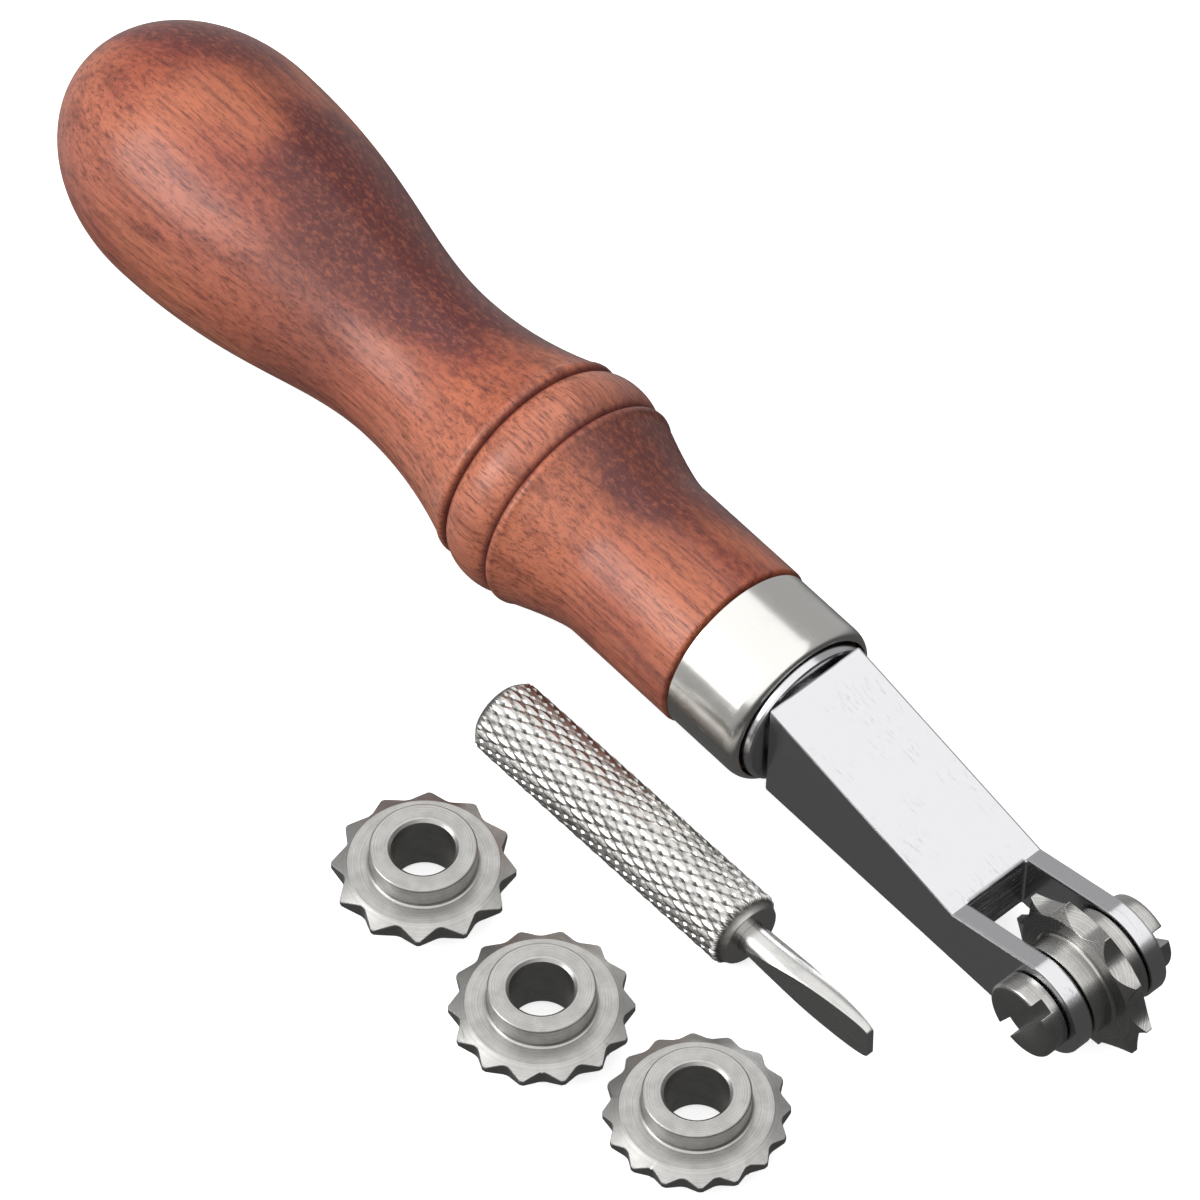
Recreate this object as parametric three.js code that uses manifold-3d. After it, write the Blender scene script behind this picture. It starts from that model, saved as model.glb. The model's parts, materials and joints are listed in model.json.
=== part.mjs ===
// A stitch-spacing wheel for leather work, lying on a bench with its accessories.
// The tool is a turned wooden handle with a plated ferrule and a forked steel shank. The fork
// carries a toothed wheel on a two-piece screwed axle. Beside it lie three spare wheels with
// other tooth counts, and the knurled screwdriver that opens the axle.
// Millimetres, +Z up. The tool lies along +X, wheel forward, and the accessories lie on its -Y side.

import * as THREE from "three";
import { mergeVertices } from "three/addons/utils/BufferGeometryUtils.js";
import Module from "manifold-3d";

const wasm = await Module();
wasm.setup();

// Fits
const RUNNING_CLEARANCE = 0.08; // radial, between the axle and what turns on it
const THREAD_CLEARANCE = 0.15; // radial, between the screw and the threaded barrel
const SEAT_GAP = 0.3; // between pieces that are seated or pressed together
const CUT_MARGIN = 1; // how far a cutting shape runs past the face it opens

// Toothed wheels: a bevelled disc between two hubs, with the teeth left between round scallops
const WHEEL_TIP_RADIUS = 8.085;
const WHEEL_DISC_THICKNESS = 2;
const WHEEL_EDGE_THICKNESS = 0.6;
const WHEEL_BEVEL_WIDTH = 1.45;
const WHEEL_WIDTH = 6.4; // over both hubs
const WHEEL_HUB_WALL = 1.93;
const WHEEL_BORE_RADIUS = 2.8;
const WHEEL_BORE_CHAMFER = 0.3;
const SCALLOP_STANDOFF = 1.845; // from the tips out to the axis of the scallop cutter
const TIP_FLAT = 0.14; // how far outside the blank two scallops would meet
const FITTED_TEETH = 10;
const SPARE_TEETH = [12, 14, 16];

// Fork and shank
const SIDE_PLAY = 0.25; // each side, between the wheel and the ears
const BACK_PLAY = 2.98; // between the tooth tips and the back wall of the slot
const EAR_THICKNESS = 1.83;
const EAR_WALL = 2.03; // of metal round the axle hole
const AXLE_DROP = 1.12; // of the axle below the handle's axis
const SHANK_LENGTH = 24.7; // from the ferrule's front edge to the crease where the fork begins
const SHANK_ROOT_TOP = 5.9; // above the handle's axis
const CREASE_HEIGHT = 0.66; // above the handle's axis
const SHOULDER_PROUD = 0.9; // of the round shoulder in front of the ferrule
const TANG_LENGTH = 32;
const TANG_ROOT_RADIUS = 2.8;
const TANG_POINT_RADIUS = 1.6;

// Axle: a threaded barrel and a screw, each with a slotted head
const AXLE_HEAD_OVERHANG = 1.03;
const HEAD_CHAMFER = 0.4;
const SCREW_HEAD_HEIGHT = 2.3;
const BARREL_HEAD_HEIGHT = 1.7;
const SCREW_RADIUS = 1.6;
const SCREW_LENGTH = 7.5;
const SLOT_WIDTH = 1.5;
const SLOT_DEPTH = 1.2;
const SCREW_SLOT_TURN = 61.5; // degrees from the tool's length towards +Z
const BARREL_SLOT_TURN = 42;

// Ferrule
const FERRULE_LENGTH = 8.5;
const FERRULE_RADIUS = 8.27;
const FERRULE_WALL = 0.6;
const FERRULE_ROUNDING = 0.75; // of the front edge, which closes in to the mouth

// Handle: distances are measured back from the ferrule's rear edge
const HANDLE_LENGTH = 86.4;
const NECK_RADIUS = 8.5;
const NECK_LENGTH = 12.8;
const FLARE_LENGTH = 7.3; // from the neck to the front ridge
const FRONT_RIDGE_RADIUS = 10.7;
const FRONT_GROOVE_RADIUS = 10.5;
const REAR_GROOVE_RADIUS = 10.46;
const REAR_RIDGE_RADIUS = 10.54;
const RIDGE_WIDTH = 1.22;
const BEAD_RADIUS = 11.24;
const BEAD_WIDTH = 5.44;
const WAIST_RADIUS = 8.18;
const WAIST_AT = 41;
const BULB_RADIUS = 12.26;
const BULB_AT = 70.4;

// Screwdriver
const GRIP_LENGTH = 32.5;
const GRIP_RADIUS = 3.7;
const GRIP_FACE_RADIUS = 2.95;
const GRIP_CHAMFER = 0.7;
const GRIP_BUTT_CHAMFER = 0.3;
const STEM_RADIUS = 1.45;
const STEM_DEPTH = 9; // of the blade inside the grip
const BLADE_LENGTH = 15.2;
const BLADE_FULL_AT = 11.7; // where the blade is widest, from the grip's face
const BLADE_HALF_WIDTH = 2.2;
const BLADE_TIP_HALF_WIDTH = 1.5;
const BLADE_TIP_THICKNESS = 0.7;
const BLADE_TAPER_AT = 1.2; // where the flats begin

// Layout on the bench
const DRIVER_AHEAD = 20.1; // grip's face, ahead of the ferrule's rear edge
const DRIVER_GAP = 1.7; // between the handle's bead and the grip
const SPARES_GAP = 3.9; // between the grip and the row of spare wheels
const SPARE_SPACING = 1.27; // between the tooth circles of neighbouring wheels
const FIRST_SPARE_BACK = 4.5; // of the ferrule's rear edge
const SPARE_OUT = [0.35, 2.6, 0]; // how far each one lies out of the row
const SPARE_AHEAD = [0, 0.47, 0]; // and ahead of its place in the row
const SPARE_TURN = [15, 23, 5]; // degrees

// Smoothness
const ROUND = 40;
const SMALL_ROUND = 28;
const CURVE_STEPS = 6;
const BLANK_SIDES_PER_TOOTH = 3;

// Sizes that follow from the ones above
const axleHoleRadius = WHEEL_BORE_RADIUS;
const barrelRadius = WHEEL_BORE_RADIUS - RUNNING_CLEARANCE;
const axleHeadRadius = barrelRadius + AXLE_HEAD_OVERHANG;
const earRadius = axleHoleRadius + EAR_WALL;
const slotWidth = WHEEL_WIDTH + 2 * SIDE_PLAY;
const forkWidth = slotWidth + 2 * EAR_THICKNESS;
const creaseX = FERRULE_LENGTH + SHANK_LENGTH;
const axleX = creaseX + BACK_PLAY + WHEEL_TIP_RADIUS;
const shankBottom = -AXLE_DROP - earRadius;
const ferruleBore = FERRULE_RADIUS - FERRULE_WALL;
const mouthRadius = FERRULE_RADIUS - FERRULE_ROUNDING;
const shoulderRadius = mouthRadius - SEAT_GAP;
const spigotLength = FERRULE_LENGTH - FERRULE_WALL - SEAT_GAP;
const shoulderRear = spigotLength + SEAT_GAP;
const shoulderFront = FERRULE_LENGTH + SHOULDER_PROUD;

const beadAt = NECK_LENGTH + FLARE_LENGTH + RIDGE_WIDTH + BEAD_WIDTH / 2;

// The tool rests on two neighbouring teeth and on the handle's bead, or on its bulb if that is
// fat enough to reach the bench first, so it leans nose-down a little.
const axleHeight = WHEEL_TIP_RADIUS * Math.cos(Math.PI / FITTED_TEETH);
const lean = Math.max(leanOn(beadAt, BEAD_RADIUS), leanOn(BULB_AT, BULB_RADIUS));

function leanOn(distanceBack, radius) {
  const span = axleX + distanceBack;
  return Math.asin((radius - axleHeight) / Math.hypot(span, AXLE_DROP)) - Math.atan(AXLE_DROP / span);
}

const degrees = THREE.MathUtils.degToRad;

function solidFrom(geometry) {
  const bare = geometry.clone();
  bare.deleteAttribute("normal");
  bare.deleteAttribute("uv");
  const merged = mergeVertices(bare);
  return new wasm.Manifold(new wasm.Mesh({
    numProp: 3,
    vertProperties: merged.attributes.position.array,
    triVerts: new Uint32Array(merged.index.array),
  }));
}

function geometryFrom(solid) {
  const mesh = solid.getMesh();
  const geometry = new THREE.BufferGeometry();
  geometry.setAttribute("position", new THREE.BufferAttribute(mesh.vertProperties, 3));
  geometry.setIndex(new THREE.BufferAttribute(mesh.triVerts, 1));
  const faceted = geometry.toNonIndexed();
  faceted.computeVertexNormals();
  return faceted;
}

function named(name, geometry, color, metalness, roughness) {
  const material = new THREE.MeshStandardMaterial({ color, metalness, roughness });
  const mesh = new THREE.Mesh(geometry, material);
  mesh.name = name;
  return mesh;
}

// Turned pieces: the profile lists [distance along the axis, radius] from low to high.
// The first corner of each section is on +X, or on -Z for a piece turned about X.
function turnedAboutY(profile, sides) {
  const points = profile.map(([along, radius]) => new THREE.Vector2(radius, along));
  return new THREE.LatheGeometry(points, sides, Math.PI / 2);
}

function turnedAboutX(profile, sides) {
  return turnedAboutY(profile, sides).rotateZ(-Math.PI / 2);
}

// Points of a smooth curve between two profile stations, without its first point
function bezier(from, ...rest) {
  const vectors = [from, ...rest].map(([along, radius]) => new THREE.Vector2(along, radius));
  const Curve = vectors.length === 3 ? THREE.QuadraticBezierCurve : THREE.CubicBezierCurve;
  const points = new Curve(...vectors).getPoints(CURVE_STEPS);
  return points.slice(1).map((point) => [point.x, point.y]);
}

// Handle: one turned piece with a spigot under the ferrule and a tapered hole for the tang
function handle() {
  const rear = -HANDLE_LENGTH;
  const bulb = -BULB_AT;
  const waist = -WAIST_AT;
  const frontRidge = -NECK_LENGTH - FLARE_LENGTH;
  const frontGroove = frontRidge - RIDGE_WIDTH;
  const rearGroove = frontGroove - BEAD_WIDTH;
  const rearRidge = rearGroove - RIDGE_WIDTH;
  const beadCentre = (frontGroove + rearGroove) / 2;
  const beadControl = 2 * BEAD_RADIUS - (FRONT_GROOVE_RADIUS + REAR_GROOVE_RADIUS) / 2;
  const tangEnd = shoulderRear - TANG_LENGTH;
  const butt = [];
  for (let step = 0; step < CURVE_STEPS; step++) {
    const turn = (step / CURVE_STEPS) * (Math.PI / 2);
    butt.push([bulb + (rear - bulb) * Math.cos(turn), BULB_RADIUS * Math.sin(turn)]);
  }
  const waistReach = (waist - bulb) * 0.3;
  const bulbReach = (waist - bulb) * 0.5;
  const profile = [
    ...butt,
    [bulb, BULB_RADIUS],
    ...bezier([bulb, BULB_RADIUS], [bulb + bulbReach, BULB_RADIUS],
      [waist - waistReach, WAIST_RADIUS], [waist, WAIST_RADIUS]),
    ...bezier([waist, WAIST_RADIUS], [(waist + rearRidge) / 2, WAIST_RADIUS],
      [rearRidge, REAR_RIDGE_RADIUS]),
    [rearGroove, REAR_GROOVE_RADIUS],
    ...bezier([rearGroove, REAR_GROOVE_RADIUS], [beadCentre, beadControl],
      [frontGroove, FRONT_GROOVE_RADIUS]),
    [frontRidge, FRONT_RIDGE_RADIUS],
    ...bezier([frontRidge, FRONT_RIDGE_RADIUS], [frontRidge + FLARE_LENGTH * 0.75, NECK_RADIUS],
      [-NECK_LENGTH, NECK_RADIUS]),
    [-SEAT_GAP, NECK_RADIUS],
    [-SEAT_GAP, ferruleBore - SEAT_GAP],
    [spigotLength, ferruleBore - SEAT_GAP],
    [spigotLength, TANG_ROOT_RADIUS + SEAT_GAP],
    [tangEnd - SEAT_GAP, TANG_POINT_RADIUS + SEAT_GAP],
    [tangEnd - SEAT_GAP, 0],
  ];
  return named("handle", turnedAboutX(profile, ROUND), 0x9b4a36, 0, 0.4);
}

// Ferrule: a thin drawn tube whose front edge is rolled in
function ferrule() {
  const roundingX = FERRULE_LENGTH - FERRULE_ROUNDING;
  const profile = [
    [0, ferruleBore],
    [0, FERRULE_RADIUS],
    [roundingX, FERRULE_RADIUS],
  ];
  const steps = CURVE_STEPS / 2;
  for (let step = 1; step <= steps; step++) {
    const turn = (step / steps) * (Math.PI / 2);
    profile.push([
      roundingX + FERRULE_ROUNDING * Math.sin(turn),
      mouthRadius + FERRULE_ROUNDING * Math.cos(turn),
    ]);
  }
  profile.push([FERRULE_LENGTH - FERRULE_WALL, mouthRadius]);
  profile.push([FERRULE_LENGTH - FERRULE_WALL, ferruleBore]);
  profile.push([0, ferruleBore]);
  return named("ferrule", turnedAboutX(profile, ROUND), 0xc8c8c6, 1, 0.15);
}

// Side outline of the shank and its ears, in the XZ plane
function forkOutline() {
  const toAxle = Math.hypot(axleX - creaseX, CREASE_HEIGHT + AXLE_DROP);
  const rise = Math.asin(earRadius / toAxle) - Math.atan2(CREASE_HEIGHT + AXLE_DROP, axleX - creaseX);
  const outline = new THREE.Shape();
  outline.moveTo(shoulderFront, shankBottom);
  outline.lineTo(axleX, shankBottom);
  outline.absarc(axleX, -AXLE_DROP, earRadius, -Math.PI / 2, rise + Math.PI / 2, false);
  outline.lineTo(creaseX, CREASE_HEIGHT);
  outline.lineTo(shoulderFront, SHANK_ROOT_TOP);
  outline.closePath();
  return outline;
}

// Fork and shank: one steel forging with its ears, round shoulder and tang
function forkShank() {
  const block = new THREE.ExtrudeGeometry(forkOutline(), {
    depth: forkWidth,
    bevelEnabled: false,
    curveSegments: SMALL_ROUND,
  });
  block.rotateX(Math.PI / 2);
  block.translate(0, forkWidth / 2, 0);
  const slotEnd = axleX + earRadius + CUT_MARGIN;
  const slotHeight = 2 * (SHANK_ROOT_TOP - shankBottom);
  const slot = new THREE.BoxGeometry(slotEnd - creaseX, slotWidth, slotHeight);
  slot.translate((creaseX + slotEnd) / 2, 0, 0);
  const hole = new THREE.CylinderGeometry(
    axleHoleRadius, axleHoleRadius, forkWidth + 2 * CUT_MARGIN, SMALL_ROUND,
  );
  hole.translate(axleX, 0, -AXLE_DROP);
  const root = turnedAboutX([
    [shoulderRear - TANG_LENGTH, 0],
    [shoulderRear - TANG_LENGTH, TANG_POINT_RADIUS],
    [shoulderRear, TANG_ROOT_RADIUS],
    [shoulderRear, shoulderRadius],
    [shoulderFront + SEAT_GAP, shoulderRadius],
    [shoulderFront + SEAT_GAP, 0],
  ], ROUND);
  const core = new THREE.BoxGeometry(SEAT_GAP * 2, forkWidth, SHANK_ROOT_TOP - shankBottom);
  core.translate(shoulderFront + SEAT_GAP, 0, (SHANK_ROOT_TOP + shankBottom) / 2);
  const rootInside = solidFrom(root).subtract(solidFrom(core));
  const shank = solidFrom(block).subtract(solidFrom(slot)).subtract(solidFrom(hole));
  return named("fork_shank", geometryFrom(shank.add(rootInside)), 0xb4b4b4, 1, 0.35);
}

// A toothed wheel about +Z, with its first tooth on +X
function wheelGeometry(teeth) {
  const hubRadius = WHEEL_BORE_RADIUS + WHEEL_HUB_WALL;
  const half = [
    [WHEEL_EDGE_THICKNESS / 2, WHEEL_TIP_RADIUS],
    [WHEEL_DISC_THICKNESS / 2, WHEEL_TIP_RADIUS - WHEEL_BEVEL_WIDTH],
    [WHEEL_DISC_THICKNESS / 2, hubRadius],
    [WHEEL_WIDTH / 2, hubRadius],
    [WHEEL_WIDTH / 2, WHEEL_BORE_RADIUS + WHEEL_BORE_CHAMFER],
    [WHEEL_WIDTH / 2 - WHEEL_BORE_CHAMFER, WHEEL_BORE_RADIUS],
  ];
  const below = half.map(([along, radius]) => [-along, radius]).reverse();
  const sides = teeth * BLANK_SIDES_PER_TOOTH;
  const blank = turnedAboutY([...below, ...half, below[0]], sides).rotateX(Math.PI / 2);
  const pitch = (2 * Math.PI) / teeth;
  const centreRadius = WHEEL_TIP_RADIUS + SCALLOP_STANDOFF;
  const meetRadius = WHEEL_TIP_RADIUS + TIP_FLAT;
  const scallopRadius = Math.hypot(
    centreRadius - meetRadius * Math.cos(pitch / 2),
    meetRadius * Math.sin(pitch / 2),
  );
  const cutter = new THREE.CylinderGeometry(
    scallopRadius, scallopRadius, WHEEL_DISC_THICKNESS + CUT_MARGIN, SMALL_ROUND,
  ).rotateX(Math.PI / 2);
  let wheel = solidFrom(blank);
  for (let tooth = 0; tooth < teeth; tooth++) {
    const turn = (tooth + 0.5) * pitch;
    const scallop = cutter.clone().translate(
      centreRadius * Math.cos(turn), centreRadius * Math.sin(turn), 0,
    );
    wheel = wheel.subtract(solidFrom(scallop));
  }
  return geometryFrom(wheel);
}

// The fitted wheel stands on two teeth, whatever the lean of the tool.
function fittedWheel() {
  const wheel = named(`wheel_${FITTED_TEETH}_teeth`, wheelGeometry(FITTED_TEETH), 0xa6a6a4, 1, 0.4);
  wheel.geometry.rotateX(Math.PI / 2);
  wheel.rotation.y = Math.PI / 2 - Math.PI / FITTED_TEETH - lean;
  wheel.position.set(axleX, 0, -AXLE_DROP);
  return wheel;
}

// A screwdriver slot across the end face of a head; side is +1 or -1 along Y
function headSlot(side, headHeight, turn) {
  const slot = new THREE.BoxGeometry(4 * axleHeadRadius, 2 * SLOT_DEPTH, SLOT_WIDTH);
  slot.rotateY(-degrees(turn));
  return slot.translate(0, side * (forkWidth / 2 + headHeight), 0);
}

// Barrel: a threaded tube through both ears, with its head outside the +Y ear
function axleBarrel() {
  const seat = forkWidth / 2;
  const free = SEAT_GAP - seat;
  const boreRadius = SCREW_RADIUS + THREAD_CLEARANCE;
  const boreEnd = SCREW_LENGTH - seat + SEAT_GAP;
  const face = seat + BARREL_HEAD_HEIGHT;
  const body = turnedAboutY([
    [boreEnd, 0],
    [boreEnd, boreRadius],
    [free, boreRadius],
    [free, barrelRadius],
    [seat + SEAT_GAP / 2, barrelRadius],
    [seat + SEAT_GAP / 2, axleHeadRadius],
    [face - HEAD_CHAMFER, axleHeadRadius],
    [face, axleHeadRadius - HEAD_CHAMFER],
    [face, 0],
  ], SMALL_ROUND);
  const slot = headSlot(1, BARREL_HEAD_HEIGHT, BARREL_SLOT_TURN);
  const solid = solidFrom(body).subtract(solidFrom(slot));
  const barrel = named("axle_barrel", geometryFrom(solid), 0x8f8f8c, 1, 0.3);
  barrel.position.set(axleX, 0, -AXLE_DROP);
  return barrel;
}

// Screw: it runs into the barrel, with its head outside the -Y ear
function axleScrew() {
  const seat = -forkWidth / 2;
  const face = seat - SCREW_HEAD_HEIGHT;
  const underHead = seat - SEAT_GAP / 2;
  const body = turnedAboutY([
    [face, 0],
    [face, axleHeadRadius - HEAD_CHAMFER],
    [face + HEAD_CHAMFER, axleHeadRadius],
    [underHead, axleHeadRadius],
    [underHead, SCREW_RADIUS],
    [seat + SCREW_LENGTH, SCREW_RADIUS],
    [seat + SCREW_LENGTH, 0],
  ], SMALL_ROUND);
  const slot = headSlot(-1, SCREW_HEAD_HEIGHT, SCREW_SLOT_TURN);
  const solid = solidFrom(body).subtract(solidFrom(slot));
  const screw = named("axle_screw", geometryFrom(solid), 0x8f8f8c, 1, 0.3);
  screw.position.set(axleX, 0, -AXLE_DROP);
  return screw;
}

// Screwdriver grip: a knurled rod with a hole for the blade's stem; its front face is at x = 0
function driverGrip() {
  const profile = [
    [-GRIP_LENGTH, 0],
    [-GRIP_LENGTH, GRIP_RADIUS - GRIP_BUTT_CHAMFER],
    [GRIP_BUTT_CHAMFER - GRIP_LENGTH, GRIP_RADIUS],
    [-GRIP_CHAMFER, GRIP_RADIUS],
    [0, GRIP_FACE_RADIUS],
    [0, STEM_RADIUS + SEAT_GAP],
    [-STEM_DEPTH - SEAT_GAP, STEM_RADIUS + SEAT_GAP],
    [-STEM_DEPTH - SEAT_GAP, 0],
  ];
  return named("driver_grip", turnedAboutX(profile, SMALL_ROUND), 0xbdbdba, 1, 0.35);
}

// Screwdriver blade: a round stem, spread and flattened to a spade tip that stands on edge
function driverBlade() {
  const spread = turnedAboutX([
    [-STEM_DEPTH, 0],
    [-STEM_DEPTH, STEM_RADIUS],
    [0, STEM_RADIUS],
    ...bezier([0, STEM_RADIUS], [BLADE_FULL_AT / 2, STEM_RADIUS],
      [BLADE_FULL_AT / 2, BLADE_HALF_WIDTH], [BLADE_FULL_AT, BLADE_HALF_WIDTH]),
    ...bezier([BLADE_FULL_AT, BLADE_HALF_WIDTH], [BLADE_LENGTH, BLADE_HALF_WIDTH],
      [BLADE_LENGTH, BLADE_TIP_HALF_WIDTH]),
    [BLADE_LENGTH, 0],
  ], SMALL_ROUND);
  const wedge = new THREE.Shape([
    new THREE.Vector2(-STEM_DEPTH - CUT_MARGIN, -STEM_RADIUS),
    new THREE.Vector2(BLADE_TAPER_AT, -STEM_RADIUS),
    new THREE.Vector2(BLADE_LENGTH, -BLADE_TIP_THICKNESS / 2),
    new THREE.Vector2(BLADE_LENGTH, BLADE_TIP_THICKNESS / 2),
    new THREE.Vector2(BLADE_TAPER_AT, STEM_RADIUS),
    new THREE.Vector2(-STEM_DEPTH - CUT_MARGIN, STEM_RADIUS),
  ]);
  const height = 4 * BLADE_HALF_WIDTH;
  const flats = new THREE.ExtrudeGeometry(wedge, { depth: height, bevelEnabled: false });
  flats.translate(0, 0, -height / 2);
  const solid = solidFrom(spread).intersect(solidFrom(flats));
  return named("driver_blade", geometryFrom(solid), 0xb0b0ae, 1, 0.3);
}

function tool() {
  const group = new THREE.Group();
  group.add(handle(), ferrule(), forkShank(), fittedWheel(), axleBarrel(), axleScrew());
  group.rotation.y = lean;
  group.position.z = -new THREE.Box3().setFromObject(group, true).min.z;
  return group;
}

function driver() {
  const group = new THREE.Group();
  group.add(driverGrip(), driverBlade());
  group.position.set(DRIVER_AHEAD, -(BEAD_RADIUS + DRIVER_GAP + GRIP_RADIUS), GRIP_RADIUS);
  return group;
}

function spareWheel(index) {
  const teeth = SPARE_TEETH[index];
  const wheel = named(`spare_wheel_${teeth}_teeth`, wheelGeometry(teeth), 0xa6a6a4, 1, 0.4);
  const gripSide = BEAD_RADIUS + DRIVER_GAP + 2 * GRIP_RADIUS;
  wheel.position.set(
    index * (2 * WHEEL_TIP_RADIUS + SPARE_SPACING) - FIRST_SPARE_BACK + SPARE_AHEAD[index],
    -(gripSide + SPARES_GAP + WHEEL_TIP_RADIUS + SPARE_OUT[index]),
    WHEEL_WIDTH / 2,
  );
  wheel.rotation.z = degrees(SPARE_TURN[index]);
  return wheel;
}

// The kit's origin is the bottom centre of its box.
const kit = new THREE.Group();
kit.add(tool(), driver());
SPARE_TEETH.forEach((teeth, index) => kit.add(spareWheel(index)));
const box = new THREE.Box3().setFromObject(kit, true);
const centre = box.getCenter(new THREE.Vector3());
kit.position.set(-centre.x, -centre.y, -box.min.z);

const part = new THREE.Group();
part.add(kit);

export default part;
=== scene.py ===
# A stitch-spacing wheel for leather work, with three spare wheels and the screwdriver that opens
# its axle. Metres, +Z up. Every piece is made straight and then laid where the frame has it.

import json
import math

import bmesh
import bpy
from mathutils import Matrix, Vector


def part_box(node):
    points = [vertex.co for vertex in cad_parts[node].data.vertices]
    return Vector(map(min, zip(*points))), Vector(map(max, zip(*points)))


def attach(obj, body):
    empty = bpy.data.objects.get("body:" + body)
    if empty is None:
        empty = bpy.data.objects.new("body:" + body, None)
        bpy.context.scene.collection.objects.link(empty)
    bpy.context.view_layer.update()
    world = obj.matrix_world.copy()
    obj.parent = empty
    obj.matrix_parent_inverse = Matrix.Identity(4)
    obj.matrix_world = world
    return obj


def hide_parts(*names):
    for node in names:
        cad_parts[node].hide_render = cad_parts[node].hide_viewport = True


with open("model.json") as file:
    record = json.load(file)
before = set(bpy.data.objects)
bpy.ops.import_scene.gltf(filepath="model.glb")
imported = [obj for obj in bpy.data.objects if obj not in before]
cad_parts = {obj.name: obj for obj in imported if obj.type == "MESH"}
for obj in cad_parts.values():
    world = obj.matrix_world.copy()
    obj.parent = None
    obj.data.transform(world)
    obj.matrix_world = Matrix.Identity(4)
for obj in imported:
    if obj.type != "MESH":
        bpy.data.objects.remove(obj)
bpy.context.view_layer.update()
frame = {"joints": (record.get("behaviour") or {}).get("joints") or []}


VIEW_AZIMUTH = math.radians(48.0)
VIEW_ELEVATION = math.radians(52.65)
VIEW_DISTANCE = 0.918
VIEW_TARGET = Vector((0.00495, 0.0101, 0.0103))
VIEW_LENS = 313.5

towards_camera = Vector((
    math.sin(VIEW_AZIMUTH) * math.cos(VIEW_ELEVATION),
    -math.cos(VIEW_AZIMUTH) * math.cos(VIEW_ELEVATION),
    math.sin(VIEW_ELEVATION),
))
bpy.ops.object.select_all(action="DESELECT")
bpy.ops.object.camera_add(
    location=VIEW_TARGET + VIEW_DISTANCE * towards_camera,
    rotation=towards_camera.to_track_quat("Z", "Y").to_euler(),
)
camera = bpy.context.object
camera.name = "studio_camera"
camera.data.lens = VIEW_LENS
camera.data.clip_end = 20
bpy.context.scene.camera = camera


# Handle: hardwood, turned on a lathe, stained reddish brown and varnished to a satin gloss. A bulb
# for the palm, a waist, a bead between two narrow ridges, a flare and a straight neck, with a
# spigot that the ferrule is driven over and a tapered hole that the tang is driven into.

HANDLE_LENGTH = 0.0864  # back from the ferrule's rear edge, as the places below are
BULB_AT = 0.0704
BULB_RADIUS = 0.01226
WAIST_AT = 0.041
WAIST_RADIUS = 0.00818
BEAD_RADIUS = 0.01124
BEAD_WIDTH = 0.00544
REAR_RIDGE_RADIUS = 0.01064
FRONT_RIDGE_RADIUS = 0.01078
RIDGE_WIDTH = 0.00122
GROOVE_DEPTH = 0.0005
FLARE_LENGTH = 0.0073
NECK_LENGTH = 0.0128
NECK_RADIUS = 0.0085
NECK_EDGE = 0.0003
SPIGOT_RADIUS = 0.00737
SPIGOT_LENGTH = 0.0076
TANG_HOLE_RADII = (0.0031, 0.0019)
TANG_HOLE_DEPTH = 0.0239
POLE_RADIUS = 0.00002  # of the tiny hole that closes each end of a turned piece
WELD_DISTANCE = 1e-6
ROUNDING = 0.3  # how far in a rounded corner's middle point lies, as a share of the corner


def curve(points, steps):
    """Points along a Bezier curve through the first and last control points, without the first."""
    stations = []
    for step in range(1, steps + 1):
        share = step / steps
        level = [Vector(point) for point in points]
        while len(level) > 1:
            level = [a.lerp(b, share) for a, b in zip(level, level[1:])]
        stations.append(tuple(level[0]))
    return stations


def rounded_corner(along, radius, size):
    """Three points round an outer corner that faces +X, from its side to its face."""
    return [
        (along - size, radius),
        (along - ROUNDING * size, radius - ROUNDING * size),
        (along, radius - size),
    ]


def draw_out(stations):
    """In edit mode: extrudes the selected ring about X through (distance, radius) stations."""
    for (along, radius), (next_along, next_radius) in zip(stations, stations[1:]):
        bpy.ops.mesh.extrude_region_move(
            TRANSFORM_OT_translate={"value": (next_along - along, 0, 0)}
        )
        growth = next_radius / radius
        bpy.ops.transform.resize(value=(1, growth, growth), center_override=(next_along, 0, 0))


def turn(name, profile, sides, closed=False):
    """Turns a profile about X. Its (distance along, radius) pairs run along the outline."""
    bpy.ops.object.select_all(action="DESELECT")
    along, radius = profile[0]
    bpy.ops.mesh.primitive_circle_add(
        vertices=sides, radius=radius, location=(along, 0, 0), rotation=(0, math.pi / 2, 0)
    )
    piece = bpy.context.object
    piece.name = name
    bpy.ops.object.transform_apply()
    bpy.ops.object.mode_set(mode="EDIT")
    bpy.ops.mesh.select_all(action="SELECT")
    draw_out(profile + profile[:1] if closed else profile)
    bpy.ops.mesh.select_all(action="SELECT")
    bpy.ops.mesh.remove_doubles(threshold=WELD_DISTANCE)
    if not closed:
        bpy.ops.mesh.fill_holes(sides=0)
    bpy.ops.mesh.select_all(action="SELECT")
    bpy.ops.mesh.normals_make_consistent(inside=False)
    bpy.ops.object.mode_set(mode="OBJECT")
    return piece


def lay(piece, place, smooth_angle=30):
    """Puts a finished piece in its place, leaving its object at the origin."""
    bpy.ops.object.select_all(action="DESELECT")
    piece.select_set(True)
    bpy.context.view_layer.objects.active = piece
    piece.matrix_world = place
    bpy.ops.object.transform_apply()
    bpy.ops.object.shade_smooth_by_angle(angle=math.radians(smooth_angle))
    evened = piece.modifiers.new("flat_faces_stay_flat", "WEIGHTED_NORMAL")
    evened.keep_sharp = True
    bpy.ops.object.modifier_apply(modifier=evened.name)


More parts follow.
